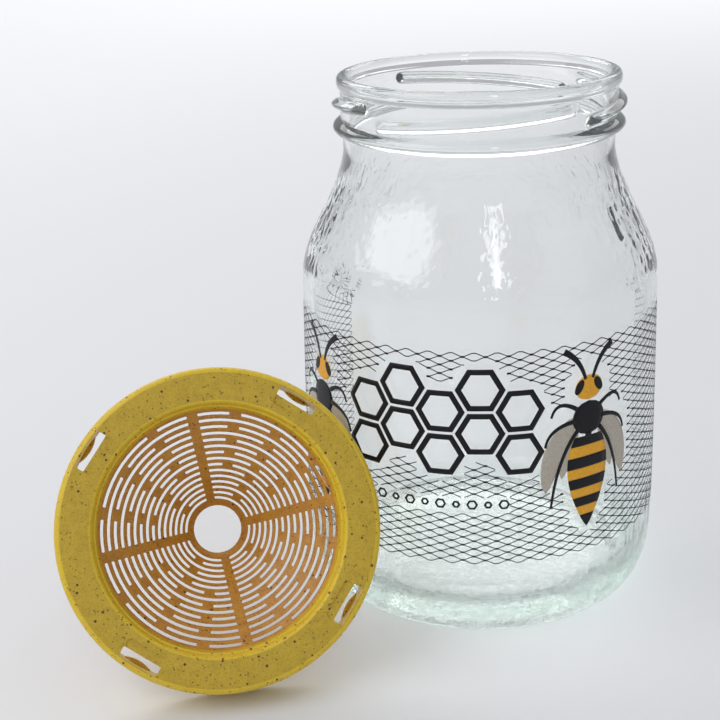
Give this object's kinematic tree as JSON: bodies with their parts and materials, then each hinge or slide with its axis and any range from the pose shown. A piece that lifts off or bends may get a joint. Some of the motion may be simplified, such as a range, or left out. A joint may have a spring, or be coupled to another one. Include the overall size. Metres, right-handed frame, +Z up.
{
  "type": "wasp trap",
  "caption": "Wide-mouth glass bait jar with a slotted funnel lid; the lid is off, standing on its rim and leaning on the jar.",
  "frame": {"origin": "on the surface that the jar and the lid stand on, under the middle of the pair's bounding box", "axes": "+Z up along the jar's axis; +X from the lid's side towards the jar; -Y is the front, which the lid's flange faces"},
  "size_m": [0.1418, 0.1162, 0.1269],
  "materials": {
    "glass": "smooth moulded glass with a faint green tint, stippled on shoulder and heel",
    "bioplastic": "satin moulded bioplastic with small dark specks",
    "ink": "thin fired print on the outside of the glass"
  },
  "bodies": {
    "jar": {"glass_jar": "glass"},
    "lid": {"funnel_lid": "bioplastic"}
  },
  "joints": [
    {"name": "lid_tip", "type": "hinge", "parent": "jar", "child": "lid", "pos_m": [-0.03182, -0.04878, 0.00904], "axis": [0.9806, 0.1959, 0], "range_deg": [0, 118.3]}
  ]
}
